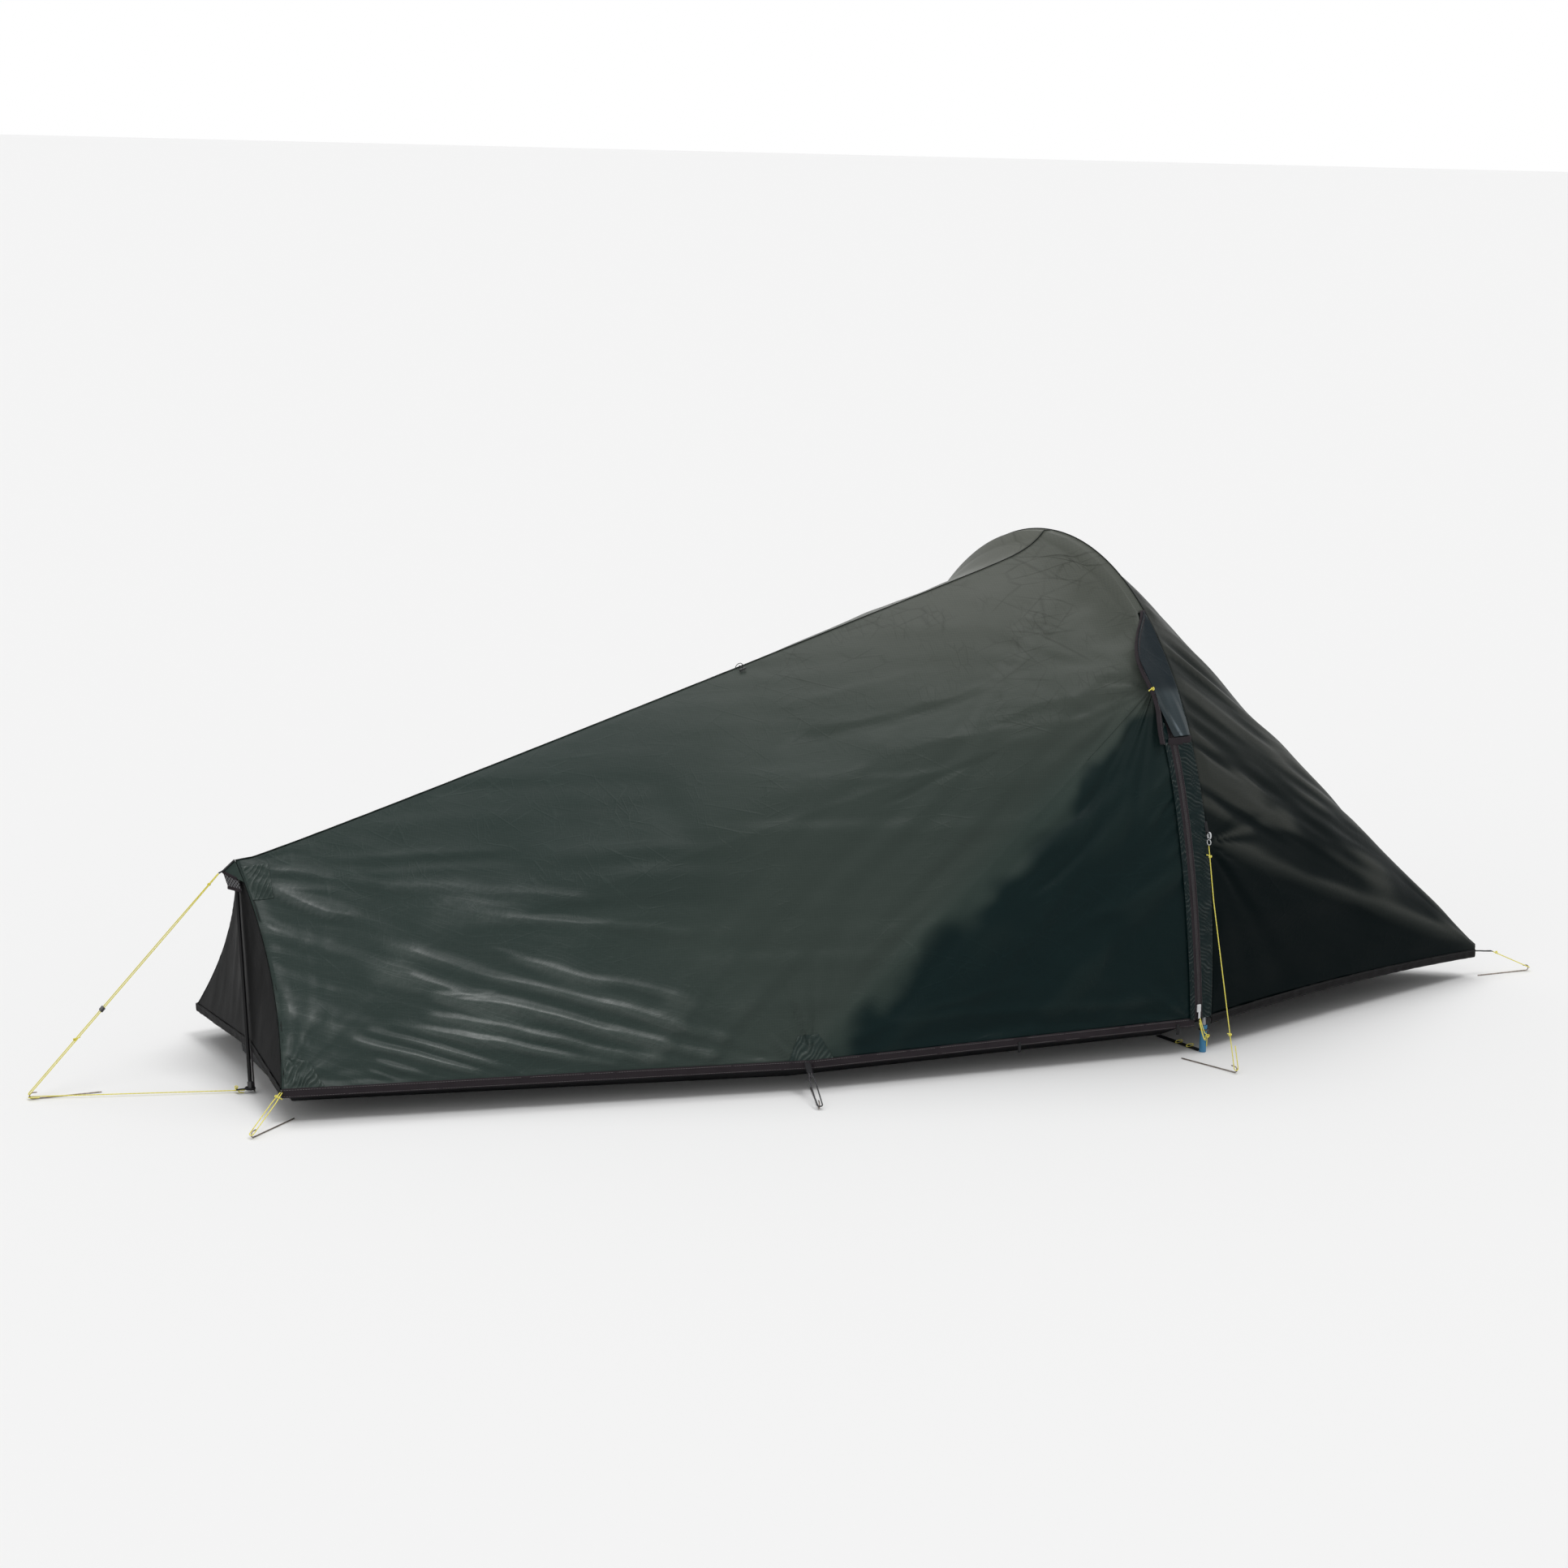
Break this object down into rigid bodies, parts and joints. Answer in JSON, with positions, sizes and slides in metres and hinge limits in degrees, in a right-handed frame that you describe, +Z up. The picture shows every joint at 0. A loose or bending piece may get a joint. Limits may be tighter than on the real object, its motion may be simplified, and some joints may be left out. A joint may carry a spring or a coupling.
{
  "type": "one-person tent",
  "caption": "Single-hoop ultralight tent with a zipped side door, low strutted foot end, pegged nose, guy lines and an inner tent with tray floor",
  "frame": {"origin": "on the ground under the middle of the tent, half way along the flysheet with its nose webbing and foot hood", "axes": "+X runs from the foot end to the nose, +Y to the side without a door, +Z up; the zipped door is on the -Y side"},
  "size_m": [3.3067, 1.2247, 1],
  "materials": {
    "fly_cloth": "dark green silicone-coated ripstop with a soft sheen",
    "end_cloth": "charcoal breathable cloth",
    "vent_mesh": "black insect mesh",
    "binding_tape": "dark purple-brown woven tape, stitched",
    "inner_cloth": "light grey breathable cloth",
    "floor_cloth": "dark coated groundsheet cloth",
    "black_webbing": "black woven webbing",
    "blue_webbing": "blue woven webbing",
    "pole_alloy": "dark anodised tube",
    "carbon_strut": "black carbon fibre tube",
    "black_plastic": "moulded black nylon",
    "pale_plastic": "moulded pale nylon",
    "zip_metal": "dark plated zip slider",
    "yellow_cord": "yellow braided cord with pale flecks",
    "grey_elastic": "grey and black elastic cord",
    "peg_titanium": "bead-blasted titanium wire"
  },
  "bodies": {
    "tent": {"fly_near_panel": "fly_cloth", "fly_far_panel": "fly_cloth", "crown_band": "fly_cloth", "zip_band": "fly_cloth", "pole_sleeve": "fly_cloth", "nose_near_panel": "fly_cloth", "nose_far_panel": "fly_cloth", "foot_hood": "fly_cloth", "foot_end_panel": "end_cloth", "foot_vent_mesh": "vent_mesh", "vent_gusset": "vent_mesh", "fly_hem_tape": "binding_tape", "nose_hem_tape": "binding_tape", "zip_tape_hoop": "binding_tape", "strut_foot_strap": "binding_tape", "hoop_pole_section_1": "pole_alloy", "hoop_pole_section_2": "pole_alloy", "hoop_pole_section_3": "pole_alloy", "hoop_pole_section_4": "pole_alloy", "pole_cup_near": "blue_webbing", "pole_cup_far": "blue_webbing", "base_strap_near": "black_webbing", "base_strap_far": "black_webbing", "foot_strut": "carbon_strut", "strut_top_cap": "black_plastic", "strut_foot_cap": "black_plastic", "guy_ring_near": "pale_plastic", "foot_guy_link": "black_webbing", "ridge_loop": "black_webbing", "nose_webbing": "black_webbing", "mid_peg_tab": "black_webbing", "inner_groundsheet": "floor_cloth", "inner_tray_wall": "floor_cloth", "inner_near_wall": "inner_cloth", "inner_far_wall": "inner_cloth", "inner_hanger_hoop": "grey_elastic", "inner_hanger_foot": "grey_elastic", "inner_hanger_head": "grey_elastic", "peg_foot": "peg_titanium", "peg_corner": "peg_titanium", "peg_mid": "peg_titanium", "peg_hoop": "peg_titanium", "peg_nose": "peg_titanium", "foot_guy_cord": "yellow_cord", "strut_foot_cord": "yellow_cord", "corner_loop": "yellow_cord", "mid_loop": "grey_elastic", "hoop_guy": "yellow_cord", "nose_cord": "yellow_cord"},
    "door": {"fly_door": "fly_cloth", "door_hem_tape": "binding_tape", "zip_tape_door": "binding_tape"},
    "lower_slider": {"zip_slider_lower": "pale_plastic"},
    "upper_slider": {"zip_slider_upper": "zip_metal"},
    "door_strap": {"vent_strap": "binding_tape"},
    "inner_door_leaf": {"inner_door": "inner_cloth"},
    "inner_slider": {"inner_zip_slider": "zip_metal"},
    "line_lock": {"foot_line_lock": "black_plastic"},
    "toggle": {"ridge_toggle": "black_plastic"},
    "far_ring": {"guy_ring_far": "pale_plastic"}
  },
  "joints": [
    {"name": "door_swing", "type": "hinge", "parent": "tent", "child": "door", "pos_m": [-0.3745, -0.506, 0.061], "axis": [-0.7555, -0.101, -0.6473], "range_deg": [0, 120]},
    {"name": "lower_slider_run", "type": "slide", "parent": "door", "child": "lower_slider", "axis": [-0.0053, 0.0248, 0.9997], "range_m": [0, 0.12]},
    {"name": "upper_slider_run", "type": "slide", "parent": "door", "child": "upper_slider", "axis": [0.0989, -0.4613, -0.8817], "range_m": [0, 0.035]},
    {"name": "strap_peel", "type": "hinge", "parent": "door", "child": "door_strap", "pos_m": [0.41628, -0.45299, 0.63], "axis": [0.0804, -0.3749, -0.9236], "range_deg": [0, 140]},
    {"name": "inner_door_fall", "type": "hinge", "parent": "tent", "child": "inner_door_leaf", "pos_m": [-0.32627, -0.4062, 0.1341], "axis": [-0.9991, 0.0002, -0.0419], "range_deg": [0, 50]},
    {"name": "inner_slider_run", "type": "slide", "parent": "tent", "child": "inner_slider", "axis": [-0.9402, -0.0014, -0.3406], "range_m": [0, 0.6]},
    {"name": "line_lock_run", "type": "slide", "parent": "tent", "child": "line_lock", "axis": [-0.6789, 0, -0.7343], "range_m": [-0.06, 0.05]},
    {"name": "toggle_swing", "type": "hinge", "parent": "tent", "child": "toggle", "pos_m": [-0.33455, -0.02192, 0.75153], "axis": [0.9531, 0.0233, 0.3017], "range_deg": [-90, 0]},
    {"name": "far_ring_swing", "type": "hinge", "parent": "tent", "child": "far_ring", "pos_m": [0.27722, 0.50043, 0.43], "axis": [0.0439, -0.2048, 0.9778], "range_deg": [-40, 40]}
  ]
}
